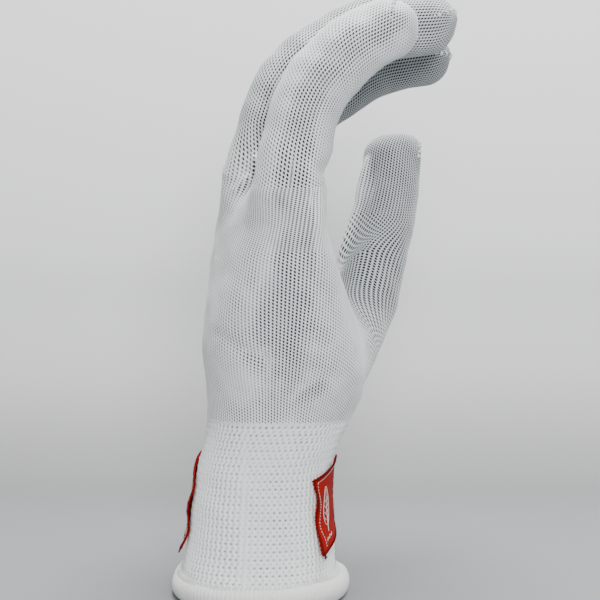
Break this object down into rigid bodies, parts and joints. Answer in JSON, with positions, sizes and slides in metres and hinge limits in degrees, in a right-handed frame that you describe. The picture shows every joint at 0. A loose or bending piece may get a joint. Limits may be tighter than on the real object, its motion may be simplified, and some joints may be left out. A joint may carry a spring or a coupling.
{
  "type": "cut resistant glove",
  "caption": "Right-hand seamless knitted work glove for carving, with ribbed elastic cuff, rolled overlocked hem, plain woven labels and fingers that bend as a hand does.",
  "frame": {"origin": "middle of the wrist opening, at the bottom of the hem", "axes": "+Z from the cuff towards the fingers, +X towards the palm side, +Y towards the thumb side"},
  "size_m": [0.0933, 0.1106, 0.1945],
  "materials": {
    "hand_knit": "fine plain jersey knit of white high-strength yarn, matt",
    "cuff_knit": "coarser ribbed knit with elastic, matt",
    "hem_knit": "rolled, densely overlocked edge, matt",
    "white_thread": "white sewing and linking thread",
    "elastic": "covered elastic yarn",
    "label_red": "woven red satin label",
    "label_thread": "pale label thread"
  },
  "bodies": {
    "cuff": {"cuff_rib": "cuff_knit", "rolled_hem": "hem_knit", "hem_overlock_thread": "white_thread", "elastic_yarns": "elastic", "palm_label": "label_red", "palm_label_stitching": "label_thread", "back_label": "label_red", "back_label_stitching": "label_thread"},
    "hand": {"lower_hand": "hand_knit", "upper_hand": "hand_knit", "finger_crotch_knots": "white_thread"},
    "pinky_root": {"pinky_root": "hand_knit"},
    "pinky_middle": {"pinky_middle": "hand_knit"},
    "pinky_tip": {"pinky_tip": "hand_knit", "pinky_tip_knots": "white_thread"},
    "ring_root": {"ring_root": "hand_knit"},
    "ring_middle": {"ring_middle": "hand_knit"},
    "ring_tip": {"ring_tip": "hand_knit", "ring_tip_knots": "white_thread"},
    "middle_root": {"middle_root": "hand_knit"},
    "middle_middle": {"middle_middle": "hand_knit"},
    "middle_tip": {"middle_tip": "hand_knit", "middle_tip_knots": "white_thread"},
    "index_root": {"index_root": "hand_knit"},
    "index_middle": {"index_middle": "hand_knit"},
    "index_tip": {"index_tip": "hand_knit", "index_tip_knots": "white_thread"},
    "thumb_base": {"thumb_base": "hand_knit"},
    "thumb_tip": {"thumb_tip": "hand_knit", "thumb_tip_knots": "white_thread"}
  },
  "joints": [
    {"name": "wrist_bend", "type": "hinge", "parent": "cuff", "child": "hand", "pos_m": [0.0057, 0, 0.056], "axis": [0, 1, 0], "range_deg": [-20, 25]},
    {"name": "pinky_knuckle_bend", "type": "hinge", "parent": "hand", "child": "pinky_root", "pos_m": [0.0107, -0.033, 0.138], "axis": [0, 1, 0], "range_deg": [-18, 40]},
    {"name": "pinky_middle_bend", "type": "hinge", "parent": "pinky_root", "child": "pinky_middle", "pos_m": [0.0148, -0.033, 0.1554], "axis": [0, 1, 0], "range_deg": [-30, 40]},
    {"name": "pinky_tip_bend", "type": "hinge", "parent": "pinky_middle", "child": "pinky_tip", "pos_m": [0.0282, -0.033, 0.1696], "axis": [0, 1, 0], "range_deg": [-18, 24]},
    {"name": "ring_knuckle_bend", "type": "hinge", "parent": "hand", "child": "ring_root", "pos_m": [0.0017, -0.011, 0.142], "axis": [0, 1, 0], "range_deg": [-18, 40]},
    {"name": "ring_middle_bend", "type": "hinge", "parent": "ring_root", "child": "ring_middle", "pos_m": [0.008, -0.011, 0.163], "axis": [0, 1, 0], "range_deg": [-38, 40]},
    {"name": "ring_tip_bend", "type": "hinge", "parent": "ring_middle", "child": "ring_tip", "pos_m": [0.033, -0.011, 0.1792], "axis": [0, 1, 0], "range_deg": [-22.8, 24]},
    {"name": "middle_knuckle_bend", "type": "hinge", "parent": "hand", "child": "middle_root", "pos_m": [0.0008, 0.011, 0.1424], "axis": [0, 1, 0], "range_deg": [-18, 40]},
    {"name": "middle_middle_bend", "type": "hinge", "parent": "middle_root", "child": "middle_middle", "pos_m": [0.0082, 0.011, 0.1672], "axis": [0, 1, 0], "range_deg": [-38, 40]},
    {"name": "middle_tip_bend", "type": "hinge", "parent": "middle_middle", "child": "middle_tip", "pos_m": [0.0356, 0.011, 0.184], "axis": [0, 1, 0], "range_deg": [-22.8, 24]},
    {"name": "index_knuckle_bend", "type": "hinge", "parent": "hand", "child": "index_root", "pos_m": [0.0026, 0.033, 0.1402], "axis": [0, 1, 0], "range_deg": [-18, 34]},
    {"name": "index_middle_bend", "type": "hinge", "parent": "index_root", "child": "index_middle", "pos_m": [0.011, 0.033, 0.157], "axis": [0, 1, 0], "range_deg": [-28, 28]},
    {"name": "index_tip_bend", "type": "hinge", "parent": "index_middle", "child": "index_tip", "pos_m": [0.037, 0.033, 0.1746], "axis": [0, 1, 0], "range_deg": [-16.8, 16.8]},
    {"name": "thumb_swing", "type": "hinge", "parent": "hand", "child": "thumb_base", "pos_m": [0.0335, 0.0395, 0.092], "axis": [-0.8197, 0.5635, -0.1025], "range_deg": [-15, 18]},
    {"name": "thumb_tip_bend", "type": "hinge", "parent": "thumb_base", "child": "thumb_tip", "pos_m": [0.0432, 0.0526, 0.126], "axis": [-0.8197, 0.5635, -0.1025], "range_deg": [-40, 14]}
  ],
  "couplings": [
    {"joint": "pinky_tip_bend", "follows": "pinky_middle_bend", "ratio": 0.6},
    {"joint": "ring_tip_bend", "follows": "ring_middle_bend", "ratio": 0.6},
    {"joint": "middle_tip_bend", "follows": "middle_middle_bend", "ratio": 0.6},
    {"joint": "index_tip_bend", "follows": "index_middle_bend", "ratio": 0.6}
  ]
}
